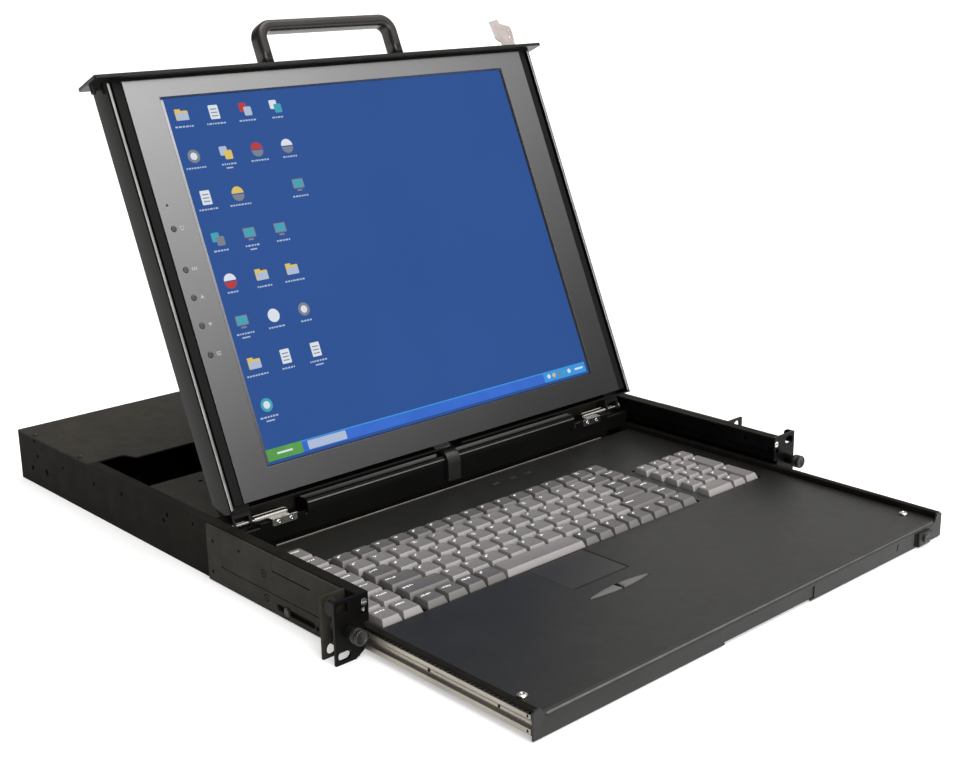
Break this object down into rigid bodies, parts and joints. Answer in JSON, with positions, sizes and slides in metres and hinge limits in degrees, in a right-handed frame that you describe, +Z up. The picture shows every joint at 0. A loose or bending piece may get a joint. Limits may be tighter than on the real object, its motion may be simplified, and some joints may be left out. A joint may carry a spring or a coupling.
{
  "type": "rackmount lcd console drawer",
  "caption": "One-unit rack drawer that slides out and carries a keyboard, touch surface and a flat screen on a folding lid, with side brackets that slide to the rack depth.",
  "frame": {"origin": "middle of the footprint of the whole object as shown (drawer out, screen up), on the underside of the chassis floor", "axes": "+X to the right seen by the user, +Y to the rear of the rack, +Z up; the drawer shuts along +Y"},
  "size_m": [0.4826, 0.6362, 0.3844],
  "materials": {
    "case_paint": "satin",
    "monitor_shell": "satin",
    "front_paint": "satin",
    "slide_steel": "brushed",
    "bright_steel": "satin",
    "spring_steel": "polished",
    "knob_finish": "satin",
    "handle_finish": "satin",
    "bezel_paint": "satin",
    "screen": "satin",
    "lamp": "gloss",
    "key_light": "matte",
    "key_dark": "matte",
    "black_plastic": "matte",
    "osd_plastic": "matte",
    "pad": "matte",
    "circuit_board": "satin",
    "supply_case": "satin",
    "socket_shell": "satin"
  },
  "bodies": {
    "chassis": {"chassis_tray": "case_paint", "slide_rail_left": "slide_steel", "slide_rail_right": "slide_steel", "top_cover": "case_paint", "rear_panel": "case_paint", "power_inlet": "black_plastic", "console_socket": "socket_shell", "rack_ear_left": "front_paint", "rack_ear_right": "front_paint", "case_screws": "bright_steel", "bracket_guide_screws": "bright_steel"},
    "drawer": {"drawer_pan": "case_paint", "drawer_front": "case_paint", "keyboard_deck": "case_paint", "indicator_window": "pad", "touchpad": "pad", "deck_screws": "bright_steel", "keyboard_base": "circuit_board", "slide_inner_left": "slide_steel", "slide_inner_right": "slide_steel", "catch_block": "black_plastic", "crossbar": "front_paint", "cable_boss": "black_plastic", "hinge_leaf_left": "bright_steel", "hinge_leaf_right": "bright_steel", "hinge_pins": "bright_steel", "hinge_screws": "bright_steel", "cable_box_lid": "case_paint", "power_supply": "supply_case", "interface_board": "circuit_board"},
    "monitor": {"monitor_back_shell": "monitor_shell", "monitor_inner_frame": "monitor_shell", "screen_bezel": "bezel_paint", "status_lamp": "lamp", "lcd_module": "screen", "front_panel": "front_paint", "locating_pins": "bright_steel", "pull_handle": "handle_finish", "catch_foot": "spring_steel", "hinge_arm_left": "bright_steel", "hinge_arm_right": "bright_steel"},
    "ball_cages": {"ball_cages": "slide_steel"},
    "rack_bracket_left": {"rack_bracket_left": "front_paint"},
    "rack_bracket_right": {"rack_bracket_right": "front_paint"},
    "thumbscrew_left": {"thumbscrew_left": "knob_finish"},
    "thumbscrew_right": {"thumbscrew_right": "knob_finish"},
    "keys_letters": {"keys_letters": "key_light"},
    "keys_function": {"keys_function": "key_dark"},
    "space_bar": {"space_bar": "key_light"},
    "keys_side_block": {"keys_side_block": "key_light"},
    "keys_number_pad": {"keys_number_pad": "key_light"},
    "touch_button_left": {"touch_button_left": "black_plastic"},
    "touch_button_right": {"touch_button_right": "black_plastic"},
    "catch_button": {"catch_button": "black_plastic"},
    "catch_tab": {"catch_tab": "spring_steel"},
    "osd_button_1": {"osd_button_1": "osd_plastic"},
    "osd_button_2": {"osd_button_2": "osd_plastic"},
    "osd_button_3": {"osd_button_3": "osd_plastic"},
    "osd_button_4": {"osd_button_4": "osd_plastic"},
    "osd_button_5": {"osd_button_5": "osd_plastic"}
  },
  "joints": [
    {"name": "drawer_slide", "type": "slide", "parent": "chassis", "child": "drawer", "axis": [0, 1, 0], "range_m": [0, 0.1646]},
    {"name": "ball_cage_slide", "type": "slide", "parent": "chassis", "child": "ball_cages", "axis": [0, 1, 0], "range_m": [0, 0.0823]},
    {"name": "monitor_hinge", "type": "hinge", "parent": "drawer", "child": "monitor", "pos_m": [0, 0.0075, 0.0365], "axis": [1, 0, 0], "range_deg": [-5, 113.4]},
    {"name": "left_bracket_slide", "type": "slide", "parent": "chassis", "child": "rack_bracket_left", "axis": [0, 1, 0], "range_m": [-0.003, 0.022]},
    {"name": "right_bracket_slide", "type": "slide", "parent": "chassis", "child": "rack_bracket_right", "axis": [0, 1, 0], "range_m": [-0.016, 0.018]},
    {"name": "left_thumbscrew_turn", "type": "hinge", "parent": "chassis", "child": "thumbscrew_left", "pos_m": [-0.2314, -0.1609, 0.0218], "axis": [0, 1, 0], "continuous": true},
    {"name": "right_thumbscrew_turn", "type": "hinge", "parent": "chassis", "child": "thumbscrew_right", "pos_m": [0.2314, -0.1609, 0.0218], "axis": [0, 1, 0], "continuous": true},
    {"name": "keys_letters_press", "type": "slide", "parent": "drawer", "child": "keys_letters", "axis": [0, 0, -1], "range_m": [0, 0.0018], "stiffness_N_per_m": 1500, "springref_m": -0.001},
    {"name": "keys_function_press", "type": "slide", "parent": "drawer", "child": "keys_function", "axis": [0, 0, -1], "range_m": [0, 0.0018], "stiffness_N_per_m": 1500, "springref_m": -0.001},
    {"name": "space_bar_press", "type": "slide", "parent": "drawer", "child": "space_bar", "axis": [0, 0, -1], "range_m": [0, 0.0018], "stiffness_N_per_m": 300, "springref_m": -0.001},
    {"name": "keys_side_block_press", "type": "slide", "parent": "drawer", "child": "keys_side_block", "axis": [0, 0, -1], "range_m": [0, 0.0018], "stiffness_N_per_m": 700, "springref_m": -0.001},
    {"name": "keys_number_pad_press", "type": "slide", "parent": "drawer", "child": "keys_number_pad", "axis": [0, 0, -1], "range_m": [0, 0.0018], "stiffness_N_per_m": 700, "springref_m": -0.001},
    {"name": "touch_button_left_press", "type": "slide", "parent": "drawer", "child": "touch_button_left", "axis": [0, 0, -1], "range_m": [0, 0.0012], "stiffness_N_per_m": 300, "springref_m": -0.0005},
    {"name": "touch_button_right_press", "type": "slide", "parent": "drawer", "child": "touch_button_right", "axis": [0, 0, -1], "range_m": [0, 0.0012], "stiffness_N_per_m": 300, "springref_m": -0.0005},
    {"name": "catch_button_press", "type": "slide", "parent": "drawer", "child": "catch_button", "axis": [0, 1, 0], "range_m": [0, 0.0015], "stiffness_N_per_m": 400, "springref_m": -0.0005},
    {"name": "osd_button_1_press", "type": "slide", "parent": "monitor", "child": "osd_button_1", "axis": [0, 0.9178, -0.3971], "range_m": [0, 0.0008], "stiffness_N_per_m": 400, "springref_m": -0.0004},
    {"name": "osd_button_2_press", "type": "slide", "parent": "monitor", "child": "osd_button_2", "axis": [0, 0.9178, -0.3971], "range_m": [0, 0.0008], "stiffness_N_per_m": 400, "springref_m": -0.0004},
    {"name": "osd_button_3_press", "type": "slide", "parent": "monitor", "child": "osd_button_3", "axis": [0, 0.9178, -0.3971], "range_m": [0, 0.0008], "stiffness_N_per_m": 400, "springref_m": -0.0004},
    {"name": "osd_button_4_press", "type": "slide", "parent": "monitor", "child": "osd_button_4", "axis": [0, 0.9178, -0.3971], "range_m": [0, 0.0008], "stiffness_N_per_m": 400, "springref_m": -0.0004},
    {"name": "osd_button_5_press", "type": "slide", "parent": "monitor", "child": "osd_button_5", "axis": [0, 0.9178, -0.3971], "range_m": [0, 0.0008], "stiffness_N_per_m": 400, "springref_m": -0.0004},
    {"name": "catch_tab_pivot", "type": "hinge", "parent": "monitor", "child": "catch_tab", "pos_m": [0.2, 0.13702, 0.35016], "axis": [1, 0, 0], "range_deg": [0, 12], "stiffness_Nm_per_rad": 0.25, "springref_deg": -8.59}
  ],
  "couplings": [
    {"joint": "ball_cage_slide", "follows": "drawer_slide", "ratio": 0.5}
  ]
}
